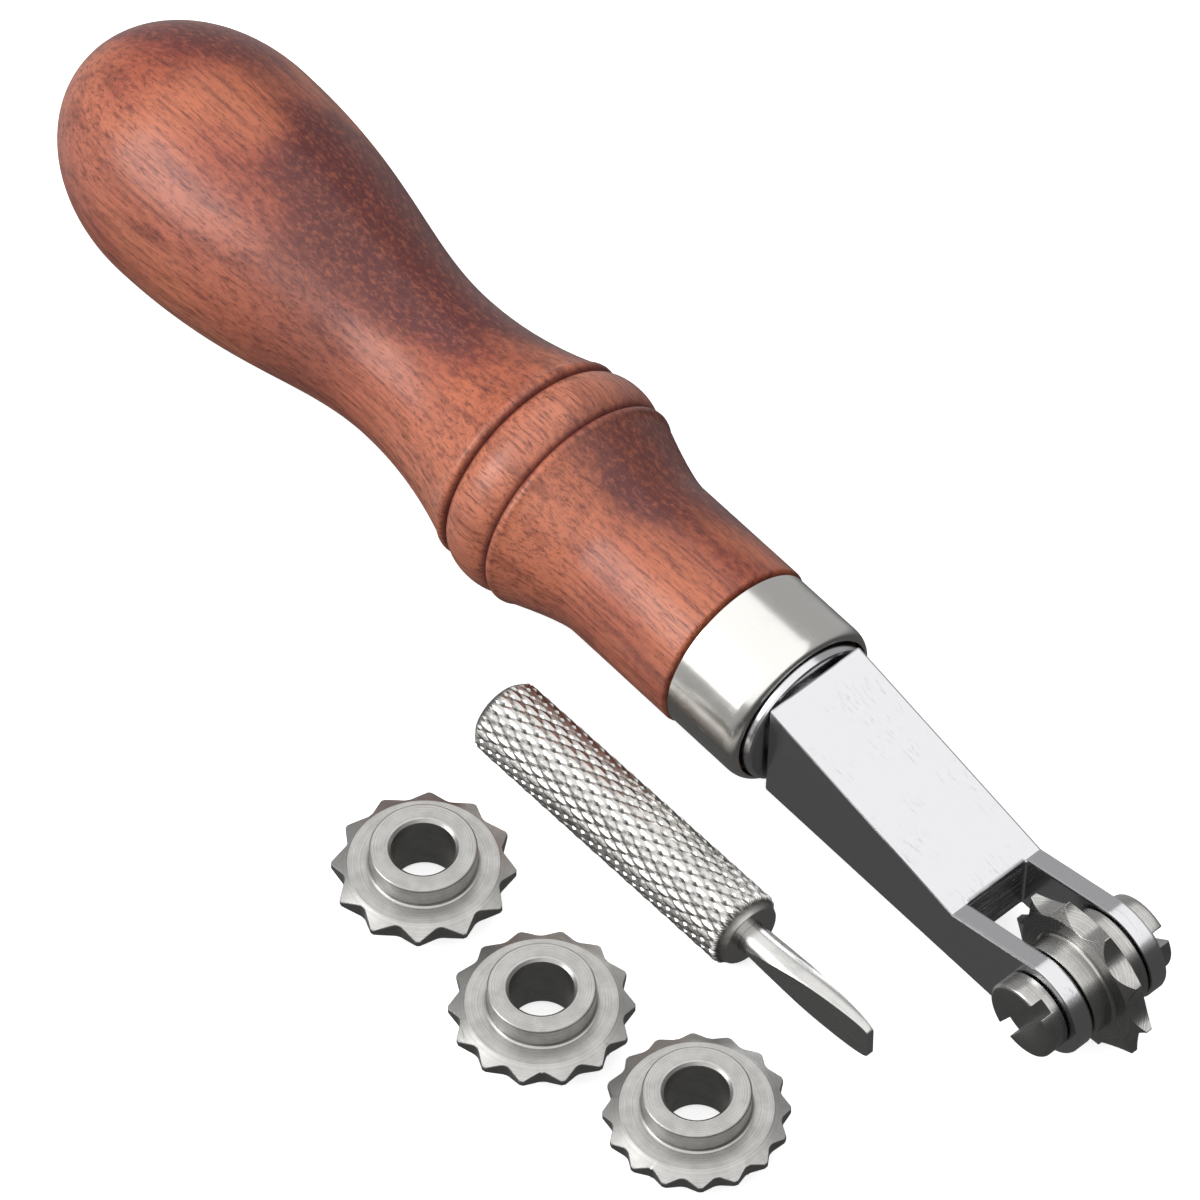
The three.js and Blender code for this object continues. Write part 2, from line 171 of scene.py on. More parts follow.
front_ridge = -NECK_LENGTH - FLARE_LENGTH
front_groove = front_ridge - RIDGE_WIDTH
rear_groove = front_groove - BEAD_WIDTH
rear_ridge = rear_groove - RIDGE_WIDTH
rear_groove_radius = REAR_RIDGE_RADIUS - GROOVE_DEPTH
front_groove_radius = FRONT_RIDGE_RADIUS - GROOVE_DEPTH
bead_control = (4 * BEAD_RADIUS - rear_groove_radius) / 3
waist_reach = (BULB_AT - WAIST_AT) * 0.3
bulb_reach = (BULB_AT - WAIST_AT) * 0.5


def ridge(outer, inner, radius):
    """Control points over a ridge, from its outer foot to its groove beside the bead."""
    width = inner - outer
    return [
        (outer, radius - GROOVE_DEPTH / 3), (outer + width * 0.3, radius + GROOVE_DEPTH * 0.5),
        (inner - width * 0.2, radius + GROOVE_DEPTH * 0.4), (inner, radius - GROOVE_DEPTH),
    ]


BUTT_STEPS = 26
handle_profile = []
for step in range(BUTT_STEPS + 1):
    swing = math.pi / 2 * step / BUTT_STEPS
    handle_profile.append((
        -BULB_AT - (HANDLE_LENGTH - BULB_AT) * math.cos(swing),
        max(POLE_RADIUS, BULB_RADIUS * math.sin(swing)),
    ))
handle_profile += curve([
    (-BULB_AT, BULB_RADIUS), (-BULB_AT + bulb_reach, BULB_RADIUS),
    (-WAIST_AT - waist_reach, WAIST_RADIUS), (-WAIST_AT, WAIST_RADIUS),
], 36)
handle_profile += curve([
    (-WAIST_AT, WAIST_RADIUS), ((rear_ridge - WAIST_AT) / 2, WAIST_RADIUS),
    (rear_ridge, REAR_RIDGE_RADIUS - GROOVE_DEPTH / 3),
], 20)
handle_profile += curve(ridge(rear_ridge, rear_groove, REAR_RIDGE_RADIUS), 8)
handle_profile += curve([
    (rear_groove, rear_groove_radius), (rear_groove + BEAD_WIDTH * 0.12, bead_control),
    (front_groove - BEAD_WIDTH * 0.12, bead_control), (front_groove, front_groove_radius),
], 18)
handle_profile += curve(ridge(front_ridge, front_groove, FRONT_RIDGE_RADIUS)[::-1], 8)
handle_profile += curve([
    (front_ridge, FRONT_RIDGE_RADIUS - GROOVE_DEPTH / 3),
    (front_ridge + FLARE_LENGTH * 0.75, NECK_RADIUS), (-NECK_LENGTH, NECK_RADIUS),
], 18)
handle_profile += [
    (-NECK_LENGTH / 2, NECK_RADIUS),
    *rounded_corner(-NECK_EDGE, NECK_RADIUS, NECK_EDGE),
    (-NECK_EDGE, SPIGOT_RADIUS),
    (SPIGOT_LENGTH, SPIGOT_RADIUS),
    (SPIGOT_LENGTH, TANG_HOLE_RADII[0]),
    (-TANG_HOLE_DEPTH, TANG_HOLE_RADII[1]),
    (-TANG_HOLE_DEPTH, POLE_RADIUS),
]
handle = turn("turned_handle", handle_profile, 128)

# The tool lies on its bead and on two neighbouring teeth of the wheel.
AXLE_AHEAD = 0.044265  # of the ferrule's rear edge
AXLE_DROP = 0.00112
axle = next(Vector(joint["pos_m"]) for joint in frame["joints"] if joint["name"] == "wheel_spin")
rest_span = AXLE_AHEAD + NECK_LENGTH + FLARE_LENGTH + RIDGE_WIDTH + BEAD_WIDTH / 2
lean = (
    math.asin((BEAD_RADIUS - axle.z) / math.hypot(rest_span, AXLE_DROP))
    - math.atan(AXLE_DROP / rest_span)
)
tool_place = (
    Matrix.Translation(axle)
    @ Matrix.Rotation(lean, 4, "Y")
    @ Matrix.Translation((-AXLE_AHEAD, 0, AXLE_DROP))
)
lay(handle, tool_place, smooth_angle=50)


def start_material(name, metallic, roughness):
    material = bpy.data.materials.new(name)
    material.use_nodes = True
    shader = material.node_tree.nodes["Principled BSDF"]
    shader.inputs["Metallic"].default_value = metallic
    shader.inputs["Roughness"].default_value = roughness
    return material, material.node_tree, shader


def add(tree, kind, label="", **inputs):
    """Adds a node and sets its inputs, which are values or other nodes' outputs."""
    node = tree.nodes.new("ShaderNode" + kind)
    node.label = label
    for socket, value in inputs.items():
        feed(tree, node, socket.replace("_", " "), value)
    return node


def feed(tree, node, socket, value):
    target = node.inputs[socket]
    if isinstance(value, bpy.types.NodeSocket):
        tree.links.new(value, target)
    else:
        target.default_value = value


def math_node(tree, operation, *values, clamp=False):
    node = tree.nodes.new("ShaderNodeMath")
    node.operation = operation
    node.use_clamp = clamp
    for index, value in enumerate(values):
        feed(tree, node, index, value)
    return node.outputs[0]


def mix_colours(tree, factor, first, second):
    node = tree.nodes.new("ShaderNodeMix")
    node.data_type = "RGBA"
    feed(tree, node, 0, factor)
    feed(tree, node, 6, first)
    feed(tree, node, 7, second)
    return node.outputs[2]


def place_on(tree, place):
    """Object coordinates seen from a piece's own place, so that they follow its own axes."""
    coordinates = tree.nodes.new("ShaderNodeTexCoord").outputs["Object"]
    own = add(tree, "Mapping", "own axes", Vector=coordinates)
    own.vector_type = "TEXTURE"
    own.inputs["Location"].default_value = place.to_translation()
    own.inputs["Rotation"].default_value = place.to_euler()
    return own.outputs[0]


def stretch(tree, vector, scale):
    scaled = add(tree, "Mapping", "stretch", Vector=vector)
    scaled.inputs["Scale"].default_value = scale
    return scaled.outputs[0]


def noise(tree, vector, scale, detail=2.0, roughness=0.5, distortion=0.0):
    node = add(tree, "TexNoise", Vector=vector, Scale=scale, Detail=detail,
               Roughness=roughness, Distortion=distortion)
    return node.outputs["Fac"]


def step_up(tree, value, low, high):
    """0 below low, 1 above high and smooth between."""
    node = add(tree, "MapRange", Value=value, From_Min=low, From_Max=high)
    node.interpolation_type = "SMOOTHSTEP"
    return node.outputs[0]


def inverse(tree, mask):
    return math_node(tree, "SUBTRACT", 1, mask)


def graded(tree, mask, base, rise):
    """The base where a mask is 0, and the base plus the rise where it is 1."""
    return math_node(tree, "ADD", math_node(tree, "MULTIPLY", mask, rise), base)


def tint(tree, colour, over, mask, opacity):
    """Lays one colour over another where a mask says, no thicker than the opacity."""
    return mix_colours(tree, math_node(tree, "MULTIPLY", mask, opacity), colour, over)


def bump(tree, height, depth, strength):
    node = add(tree, "Bump", Height=height, Distance=depth, Strength=strength)
    return node.outputs[0]


STAIN_RED = (0.27, 0.048, 0.030, 1)
STAIN_ORANGE = (0.46, 0.135, 0.066, 1)
# The next dark serves the real stain and also the painted shade on the handle's far side.
DARK_STAIN_AND_SHADE = (0.070, 0.013, 0.016, 1)
FIBRE_DARK = (0.10, 0.022, 0.018, 1)
# A pale tone for the painted sheen on the near side and the painted highlight on the bead.
SHEEN_PALE = (0.60, 0.23, 0.15, 1)
PORE_DARK = (0.035, 0.010, 0.010, 1)

# Where the stain lies darkest: in the flare, and on the bulb's side of the waist
FLARE_STAIN_AT = front_ridge + 0.0045
FLARE_STAIN_REACH = 0.014
WAIST_STAIN_AT = -WAIST_AT - 0.007
WAIST_STAIN_REACH = 0.019
STAIN_AND_SHADE_OPACITY = 0.85
BROAD_FIBRE_OPACITY = 0.55
FIBRE_OPACITY = 0.7
PALE_FLECK_OPACITY = 0.36
DARK_FLECK_OPACITY = 0.34
PORE_OPACITY = 0.5
CREASE_OPACITY = 0.75
# How strongly the painted sheen on the near side and the painted highlight on the bead show.
NEAR_SIDE_SHEEN = 0.36
BEAD_SHEEN = 0.5

stained_wood, tree, shader = start_material("stained_hardwood", 0, 0.36)
along_grain = place_on(tree, tool_place)
fibres = noise(tree, stretch(tree, along_grain, (160, 2600, 2600)), 1, 4, 0.62, 0.4)
broad_fibres = noise(tree, stretch(tree, along_grain, (30, 420, 420)), 1, 4, 0.6, 0.8)
mottle = noise(tree, stretch(tree, along_grain, (1200, 2200, 2200)), 1, 4, 0.7)
clouds = noise(tree, stretch(tree, along_grain, (46, 70, 70)), 1, 2.5, 0.5, 0.5)
pores = noise(tree, stretch(tree, along_grain, (900, 7600, 7600)), 1, 2, 0.5)
axes = add(tree, "SeparateXYZ", Vector=along_grain)
distance = axes.outputs["X"]


def zone(middle, reach):
    """1 at a place along the handle, fading to 0 at a reach to each side."""
    offset = math_node(tree, "ABSOLUTE", math_node(tree, "SUBTRACT", distance, middle))
    return inverse(tree, step_up(tree, offset, 0, reach))


# The far (+Y) side, away from the light, is painted darker as shade over the real stain.
far_side = step_up(tree, axes.outputs["Y"], -0.008, 0.009)
near_side = inverse(tree, step_up(tree, axes.outputs["Y"], -0.0095, -0.001))
dark_zones = math_node(tree, "MAXIMUM", zone(FLARE_STAIN_AT, FLARE_STAIN_REACH),
                       zone(WAIST_STAIN_AT, WAIST_STAIN_REACH))
# The stain zones are painted stronger towards the far side, as shade.
dark_zones = math_node(tree, "MULTIPLY", dark_zones, graded(tree, far_side, 0.3, 0.75))
# So the stain's depth holds the real stain clouds and zones plus the painted far-side shade.
stain_and_shade_depth = math_node(tree, "ADD", clouds, math_node(
    tree, "ADD", math_node(tree, "MULTIPLY", dark_zones, 0.36),
    math_node(tree, "MULTIPLY", far_side, 0.18)))
on_the_bead = zone((front_groove + rear_groove) / 2, BEAD_WIDTH * 0.9)
# Painted light: a pale sheen on the near (-Y) side that faces the light, and a painted highlight on
# the bead.
painted_sheen = math_node(
    tree, "MAXIMUM", math_node(tree, "MULTIPLY", near_side, NEAR_SIDE_SHEEN),
    math_node(tree, "MULTIPLY", on_the_bead, BEAD_SHEEN))
pore_mask = step_up(tree, pores, 0.60, 0.70)
# The grooves beside the bead are painted darker.
in_creases = math_node(
    tree, "MAXIMUM", zone(front_groove, RIDGE_WIDTH * 0.5), zone(rear_groove, RIDGE_WIDTH * 0.5))

colour = mix_colours(tree, step_up(tree, clouds, 0.36, 0.62), STAIN_ORANGE, STAIN_RED)
for over, mask, opacity in (
    (DARK_STAIN_AND_SHADE, step_up(tree, stain_and_shade_depth, 0.52, 0.80), STAIN_AND_SHADE_OPACITY),
    (SHEEN_PALE, painted_sheen, 1),
    (FIBRE_DARK, step_up(tree, broad_fibres, 0.46, 0.72), BROAD_FIBRE_OPACITY),
    (FIBRE_DARK, step_up(tree, fibres, 0.44, 0.70), FIBRE_OPACITY),
    (STAIN_ORANGE, step_up(tree, mottle, 0.46, 0.68), PALE_FLECK_OPACITY),
    (DARK_STAIN_AND_SHADE, inverse(tree, step_up(tree, mottle, 0.32, 0.50)), DARK_FLECK_OPACITY),
    (PORE_DARK, pore_mask, PORE_OPACITY),
    (DARK_STAIN_AND_SHADE, in_creases, CREASE_OPACITY),
):
    colour = tint(tree, colour, over, mask, opacity)
tree.links.new(colour, shader.inputs["Base Color"])
gloss = add(tree, "MapRange", Value=fibres, To_Min=0.30, To_Max=0.48)
tree.links.new(gloss.outputs[0], shader.inputs["Roughness"])
relief = math_node(tree, "SUBTRACT", math_node(tree, "MULTIPLY", fibres, 0.6), pore_mask)
tree.links.new(bump(tree, relief, 0.00004, 0.6), shader.inputs["Normal"])
shader.inputs["Specular IOR Level"].default_value = 0.32
shader.inputs["Coat Weight"].default_value = 0.2
shader.inputs["Coat Roughness"].default_value = 0.22
handle.data.materials.append(stained_wood)
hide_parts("handle")
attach(handle, "tool")


# Ferrule: a thin sleeve drawn from sheet metal, nickel plated and polished. Its front edge is
# rolled in round the shank's shoulder, and it is driven onto the handle's spigot.

FERRULE_LENGTH = 0.0085
FERRULE_RADIUS = 0.00827
FERRULE_WALL = 0.0006
ROLL_LENGTH = 0.0014
ROLL_DEPTH = 0.00075
ROLL_STEPS = 14

ferrule_profile = [
    (0, FERRULE_RADIUS - FERRULE_WALL),
    (0, FERRULE_RADIUS - 0.0001),
    (0.0001, FERRULE_RADIUS),
    (FERRULE_LENGTH / 2, FERRULE_RADIUS),
    (FERRULE_LENGTH - ROLL_LENGTH, FERRULE_RADIUS),
]
for step in range(1, ROLL_STEPS + 1):
    swing = math.pi / 2 * step / ROLL_STEPS
    ferrule_profile.append((
        FERRULE_LENGTH - ROLL_LENGTH * (1 - math.sin(swing)),
        FERRULE_RADIUS - ROLL_DEPTH * (1 - math.cos(swing)),
    ))
ferrule_profile += [
    (FERRULE_LENGTH - FERRULE_WALL, FERRULE_RADIUS - ROLL_DEPTH),
    (FERRULE_LENGTH - FERRULE_WALL, FERRULE_RADIUS - FERRULE_WALL),
]
ferrule = turn("drawn_ferrule", ferrule_profile, 160, closed=True)
lay(ferrule, tool_place, smooth_angle=40)


def start_group(name, inputs, outputs):
    """A shader group: inputs are (name, kind, default), outputs are names of plain values."""
    group = bpy.data.node_groups.new(name, "ShaderNodeTree")
    for socket, kind, default in inputs:
        made = group.interface.new_socket(socket, in_out="INPUT", socket_type="NodeSocket" + kind)
        if default is not None:
            made.default_value = default
    for socket in outputs:
        group.interface.new_socket(socket, in_out="OUTPUT", socket_type="NodeSocketFloat")
    return group, group.nodes.new("NodeGroupInput"), group.nodes.new("NodeGroupOutput")


# Fine scratches from handling and polishing, long along the group's own X
scratches, given, put_out = start_group(
    "fine_scratches",
    [("Vector", "Vector", None), ("Density", "Float", 2600.0), ("Length", "Float", 90.0)],
    ["Mask"],
)
axes = add(scratches, "SeparateXYZ", Vector=given.outputs["Vector"])
stretched = add(
    scratches, "CombineXYZ",
    X=math_node(scratches, "MULTIPLY", axes.outputs["X"], given.outputs["Length"]),
    Y=math_node(scratches, "MULTIPLY", axes.outputs["Y"], given.outputs["Density"]),
    Z=math_node(scratches, "MULTIPLY", axes.outputs["Z"], given.outputs["Density"]),
)
lines = noise(scratches, stretched.outputs[0], 1, 4, 0.6)
patches = noise(scratches, given.outputs["Vector"], 260, 2, 0.5)
worn = math_node(
    scratches, "MULTIPLY",
    step_up(scratches, lines, 0.52, 0.74), step_up(scratches, patches, 0.4, 0.62),
)
scratches.links.new(worn, put_out.inputs["Mask"])


def apply_group(tree, group, **inputs):
    node = tree.nodes.new("ShaderNodeGroup")
    node.node_tree = group
    for socket, value in inputs.items():
        feed(tree, node, socket.replace("_", " "), value)
    return node.outputs


POLISHED_NICKEL = (0.66, 0.65, 0.625, 1)
DULL_NICKEL = (0.54, 0.525, 0.495, 1)
polished_nickel, tree, shader = start_material("polished_nickel_plate", 1, 0.2)
own = place_on(tree, tool_place)
marks = apply_group(tree, scratches, Vector=own, Density=3200.0, Length=200.0)["Mask"]
tarnish = noise(tree, own, 180, 3, 0.55)
tree.links.new(mix_colours(tree, step_up(tree, tarnish, 0.45, 0.75), POLISHED_NICKEL, DULL_NICKEL),
               shader.inputs["Base Color"])
tree.links.new(graded(tree, marks, 0.2, 0.12), shader.inputs["Roughness"])
waves = noise(tree, own, 130, 1, 0.4)
tree.links.new(bump(tree, waves, 0.00012, 0.2), shader.inputs["Normal"])
ferrule.data.materials.append(polished_nickel)
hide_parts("ferrule")
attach(ferrule, "tool")


# Fork and shank: one piece of plated steel. A tapered tang and a round shoulder at the rear, a
# block milled to a wedge, and a slot that leaves two ears with round ends for the axle.

SHOULDER_REAR = 0.0079
SHOULDER_FRONT = 0.0094
SHOULDER_RADIUS = 0.00722
SHOULDER_EDGE = 0.00035
CREASE_WIDTH = 0.00028  # of the undercut between the shoulder and the block
CREASE_RADIUS = 0.0048
TANG_LENGTH = 0.032
TANG_RADII = (0.0028, 0.0016)
SHANK_TOP = 0.0059  # above the handle's axis, at the shoulder
CREASE_AT = 0.0332
CREASE_HEIGHT = 0.00066
EAR_RADIUS = 0.00483
AXLE_HOLE_RADIUS = 0.0028
FORK_WIDTH = 0.01056
SLOT_WIDTH = 0.0069
EDGE_BREAK = 0.00022
EAR_SIDES = 120
SAME_PLACE = 1e-5  # how close two points are that count as one

shank_bottom = -AXLE_DROP - EAR_RADIUS
to_axle = math.hypot(AXLE_AHEAD - CREASE_AT, CREASE_HEIGHT + AXLE_DROP)
ear_rise = (
    math.asin(EAR_RADIUS / to_axle)
    - math.atan2(CREASE_HEIGHT + AXLE_DROP, AXLE_AHEAD - CREASE_AT)
)


def select_vertices(chosen):
    """In edit mode: selects the vertices that chosen accepts by their place, and nothing else."""
    bpy.ops.mesh.select_all(action="DESELECT")
    mesh = bmesh.from_edit_mesh(bpy.context.object.data)
    for vertex in mesh.verts:
        vertex.select_set(chosen(vertex.co))
    mesh.select_flush(True)
    bmesh.update_edit_mesh(bpy.context.object.data)


def cut(piece, tool, operation="DIFFERENCE"):
    """Cuts or joins a piece with a tool shape, which is then thrown away."""
    bpy.ops.object.select_all(action="DESELECT")
    bpy.context.view_layer.objects.active = piece
    piece.select_set(True)
    boolean = piece.modifiers.new("cut", "BOOLEAN")
    boolean.operation = operation
    boolean.solver = "EXACT"
    boolean.object = tool
    bpy.ops.object.modifier_apply(modifier=boolean.name)
    bpy.data.objects.remove(tool)


def break_edges(piece, width, segments=2, angle=30):
    """Takes the sharpness off every edge of a piece."""
    bpy.ops.object.select_all(action="DESELECT")
    bpy.context.view_layer.objects.active = piece
    piece.select_set(True)
    bevel = piece.modifiers.new("edges", "BEVEL")
    bevel.width = width
    bevel.segments = segments
    bevel.limit_method = "ANGLE"
    bevel.angle_limit = math.radians(angle)
    bevel.use_clamp_overlap = True
    bpy.ops.object.modifier_apply(modifier=bevel.name)


# The ear's round end comes first: a circle in the tool's upright plane, opened at the rear.
bpy.ops.object.select_all(action="DESELECT")
bpy.ops.mesh.primitive_circle_add(
    vertices=EAR_SIDES, radius=EAR_RADIUS, location=(AXLE_AHEAD, -FORK_WIDTH / 2, -AXLE_DROP),
    rotation=(math.pi / 2, 0, 0),
)
fork = bpy.context.object
fork.name = "forked_shank"
bpy.ops.object.transform_apply()
bpy.ops.object.mode_set(mode="EDIT")


def behind_the_ear(co):
    swing = math.atan2(co.z + AXLE_DROP, co.x - AXLE_AHEAD) % (2 * math.pi)
    slack = 1e-3
    return math.pi / 2 + ear_rise + slack < swing < 3 * math.pi / 2 - slack


select_vertices(behind_the_ear)
bpy.ops.mesh.delete(type="VERT")
mesh = bmesh.from_edit_mesh(fork.data)
top_end = max((v for v in mesh.verts if len(v.link_edges) == 1), key=lambda v: v.co.z).co.copy()
near_face = -FORK_WIDTH / 2
block_rear = SHOULDER_FRONT + CREASE_WIDTH
corners = [
    (CREASE_AT, near_face, CREASE_HEIGHT), (block_rear, near_face, SHANK_TOP),
    (block_rear, near_face, shank_bottom), (AXLE_AHEAD, near_face, shank_bottom),
]
select_vertices(lambda co: (co - top_end).length < SAME_PLACE)
reached = top_end
for corner in corners:
    bpy.ops.mesh.extrude_region_move(TRANSFORM_OT_translate={"value": Vector(corner) - reached})
    reached = Vector(corner)
bpy.ops.mesh.select_all(action="SELECT")
bpy.ops.mesh.remove_doubles(threshold=WELD_DISTANCE)
bpy.ops.mesh.edge_face_add()
bpy.ops.mesh.extrude_region_move(TRANSFORM_OT_translate={"value": (0, FORK_WIDTH, 0)})
bpy.ops.mesh.select_all(action="SELECT")
bpy.ops.mesh.normals_make_consistent(inside=False)
bpy.ops.object.mode_set(mode="OBJECT")

bpy.ops.object.select_all(action="DESELECT")
slot_reach = 0.04  # well past the ears' ends, top and bottom
bpy.ops.mesh.primitive_cube_add(size=1, location=(CREASE_AT + slot_reach / 2, 0, 0))
slot_cutter = bpy.context.object
slot_cutter.scale = (slot_reach, SLOT_WIDTH, slot_reach)
bpy.ops.object.transform_apply()
cut(fork, slot_cutter)
bpy.ops.object.select_all(action="DESELECT")
bpy.ops.mesh.primitive_cylinder_add(
    vertices=72, radius=AXLE_HOLE_RADIUS, depth=2 * FORK_WIDTH,
    location=(AXLE_AHEAD, 0, -AXLE_DROP), rotation=(math.pi / 2, 0, 0),
)
cut(fork, bpy.context.object)
break_edges(fork, EDGE_BREAK, 2)

shoulder = turn("shoulder", [
    (SHOULDER_REAR - TANG_LENGTH, POLE_RADIUS),
    (SHOULDER_REAR - TANG_LENGTH, TANG_RADII[1] - 0.0003),
    (SHOULDER_REAR - TANG_LENGTH + 0.0004, TANG_RADII[1]),
    (SHOULDER_REAR, TANG_RADII[0]),
    (SHOULDER_REAR, SHOULDER_RADIUS),
    *rounded_corner(SHOULDER_FRONT, SHOULDER_RADIUS, SHOULDER_EDGE),
    (SHOULDER_FRONT, CREASE_RADIUS),
    (block_rear + CREASE_WIDTH, CREASE_RADIUS),
    (block_rear + CREASE_WIDTH, POLE_RADIUS),
], 128)
cut(fork, shoulder, "UNION")
lay(fork, tool_place, smooth_angle=20)

PLATED_STEEL = (0.57, 0.57, 0.585, 1)
SCRATCHED_STEEL = (0.40, 0.40, 0.415, 1)
# The dark of the painted shade on the slot's back wall.
SLOT_SHADE_DARK = (0.10, 0.10, 0.105, 1)
plated_steel, tree, shader = start_material("satin_plated_steel", 1, 0.19)
own = place_on(tree, tool_place)
axes = add(tree, "SeparateXYZ", Vector=own)
lengthwise = apply_group(tree, scratches, Vector=own, Density=4200.0, Length=60.0)["Mask"]
ahead = axes.outputs["X"]
off_centre = math_node(tree, "ABSOLUTE", axes.outputs["Y"])
in_slot = math_node(
    tree, "MULTIPLY", step_up(tree, ahead, CREASE_AT - 0.0004, CREASE_AT),
    inverse(tree, step_up(tree, off_centre, SLOT_WIDTH / 2 - 0.0003, SLOT_WIDTH / 2)))
back_wall = math_node(
    tree, "MULTIPLY", in_slot,
    inverse(tree, step_up(tree, ahead, CREASE_AT + 0.0002, CREASE_AT + 0.0004)))
marks = math_node(tree, "MULTIPLY", lengthwise, 0.35)
cutter_lines = math_node(tree, "MULTIPLY", step_up(
    tree, noise(tree, stretch(tree, own, (1, 160, 2400)), 1, 3, 0.6), 0.35, 0.65), back_wall)
colour = mix_colours(tree, marks, PLATED_STEEL, SCRATCHED_STEEL)
# The slot's back wall is painted dark as shade, less dark along the milling lines.
in_shade = math_node(tree, "MULTIPLY", back_wall, math_node(
    tree, "SUBTRACT", 0.9, math_node(tree, "MULTIPLY", cutter_lines, 0.7)))
tree.links.new(mix_colours(tree, in_shade, colour, SLOT_SHADE_DARK), shader.inputs["Base Color"])
tree.links.new(graded(tree, marks, 0.19, 0.25), shader.inputs["Roughness"])
relief = math_node(tree, "SUBTRACT", cutter_lines, math_node(tree, "MULTIPLY", marks, 0.12))
tree.links.new(bump(tree, relief, 0.00015, 0.8), shader.inputs["Normal"])
fork.data.materials.append(plated_steel)
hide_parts("fork_shank")
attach(fork, "tool")


# Toothed wheels: each is turned from steel bar as a bevelled disc between two hubs and bored, and
# its teeth are left by milling notches round the edge: round scallops on the fitted wheel, straight
# flanks on the three loose ones, which have more teeth.

TIP_RADIUS = 0.008085
DISC_THICKNESS = 0.002
EDGE_THICKNESS = 0.0006
BEVEL_WIDTH = 0.00145
WHEEL_WIDTH = 0.0064
HUB_RADIUS = 0.00473
HUB_EDGE = 0.00016
HUB_FILLET = 0.00025
BORE_RADIUS = 0.0028
BORE_CHAMFER = 0.0003
SCALLOP_STANDOFF = 0.001845
NOTCH_SLOPE = math.radians(26)  # of the loose wheels' straight flanks
NOTCH_ROOT_RADIUS = 0.0009
NOTCH_HEIGHT = 0.004
TIP_FLAT = 0.00014
TOOTH_EDGE = 0.00005
BLANK_SIDES_PER_TOOTH = 12


def round_cutter(teeth):
    """The cutter for the gap on +Z of a wheel about X, which leaves a round scallop."""
    pitch = 2 * math.pi / teeth
    centre_radius = TIP_RADIUS + SCALLOP_STANDOFF
    meet_radius = TIP_RADIUS + TIP_FLAT
    bpy.ops.mesh.primitive_cylinder_add(
        vertices=64, depth=2 * DISC_THICKNESS, location=(0, 0, centre_radius),
        rotation=(0, math.pi / 2, 0), radius=math.hypot(
            centre_radius - meet_radius * math.cos(pitch / 2), meet_radius * math.sin(pitch / 2)),
    )


def wedge_cutter(teeth):
    """The cutter for the gap on +Z of a wheel about X, with straight flanks and a round root."""
    meet_radius = TIP_RADIUS + TIP_FLAT
    half_gap = meet_radius * math.sin(math.pi / teeth)
    root = meet_radius * math.cos(math.pi / teeth) - half_gap * math.tan(NOTCH_SLOPE)
    # A three-sided rod, with one corner pointing at the wheel's axis and then rounded
    bpy.ops.mesh.primitive_cylinder_add(vertices=3, radius=1, depth=2 * DISC_THICKNESS)
    cutter = bpy.context.object
    outwards = Matrix(((0, 0, -1), (1, 0, 0), (0, -1, 0))).to_4x4()
    to_root = NOTCH_HEIGHT / 1.5
    half_width = NOTCH_HEIGHT / math.tan(NOTCH_SLOPE) / math.sin(math.pi / 3)
    cutter.matrix_world = (
        Matrix.Translation((0, 0, root + to_root)) @ outwards
        @ Matrix.Diagonal((half_width, to_root, 1, 1))
    )
    bpy.ops.object.transform_apply()
    bpy.ops.object.mode_set(mode="EDIT")
    select_vertices(lambda co: co.z < root + SAME_PLACE)
    bpy.ops.mesh.bevel(
        offset=NOTCH_ROOT_RADIUS * math.tan(NOTCH_SLOPE), segments=8, affect="EDGES")
    bpy.ops.object.mode_set(mode="OBJECT")


def toothed_wheel(name, teeth, add_cutter):
    """A wheel about X, with its first tooth on +Z."""
    half = [
        (EDGE_THICKNESS / 2, TIP_RADIUS),
        (DISC_THICKNESS / 2, TIP_RADIUS - BEVEL_WIDTH),
        (DISC_THICKNESS / 2, HUB_RADIUS + HUB_FILLET),
        (DISC_THICKNESS / 2 + ROUNDING * HUB_FILLET, HUB_RADIUS + ROUNDING * HUB_FILLET),
        (DISC_THICKNESS / 2 + HUB_FILLET, HUB_RADIUS),
        *rounded_corner(WHEEL_WIDTH / 2, HUB_RADIUS, HUB_EDGE),
        (WHEEL_WIDTH / 2, BORE_RADIUS + BORE_CHAMFER),
        (WHEEL_WIDTH / 2 - BORE_CHAMFER, BORE_RADIUS),
    ]
    profile = [(-along, radius) for along, radius in reversed(half)] + half
    wheel = turn(name, profile, teeth * BLANK_SIDES_PER_TOOTH, closed=True)
    for tooth in range(teeth):
        swing = (tooth + 0.5) * 2 * math.pi / teeth
        bpy.ops.object.select_all(action="DESELECT")
        add_cutter(teeth)
        cutter = bpy.context.object
        bpy.ops.object.transform_apply()
        cutter.matrix_world = Matrix.Rotation(swing, 4, "X")
        cut(wheel, cutter)
    break_edges(wheel, TOOTH_EDGE, 1, 40)
    return wheel


# Fine rings left by the lathe, round the X axis of the position that is given
turning_marks, given, put_out = start_group(
    "turning_marks", [("Vector", "Vector", None), ("Pitch", "Float", 9000.0)], ["Rings", "Spread"],
)
axes = add(turning_marks, "SeparateXYZ", Vector=given.outputs["Vector"])
radius = math_node(turning_marks, "SQRT", math_node(
    turning_marks, "ADD",
    math_node(turning_marks, "POWER", axes.outputs["Y"], 2),
    math_node(turning_marks, "POWER", axes.outputs["Z"], 2),
))
spiral = math_node(turning_marks, "ADD", radius, math_node(
    turning_marks, "MULTIPLY", axes.outputs["X"], 0.8))
rings = add(turning_marks, "TexNoise", Scale=1.0, Detail=3.0)
rings.noise_dimensions = "1D"
feed(turning_marks, rings, "W", math_node(
    turning_marks, "MULTIPLY", spiral, given.outputs["Pitch"]))
turning_marks.links.new(rings.outputs["Fac"], put_out.inputs["Rings"])
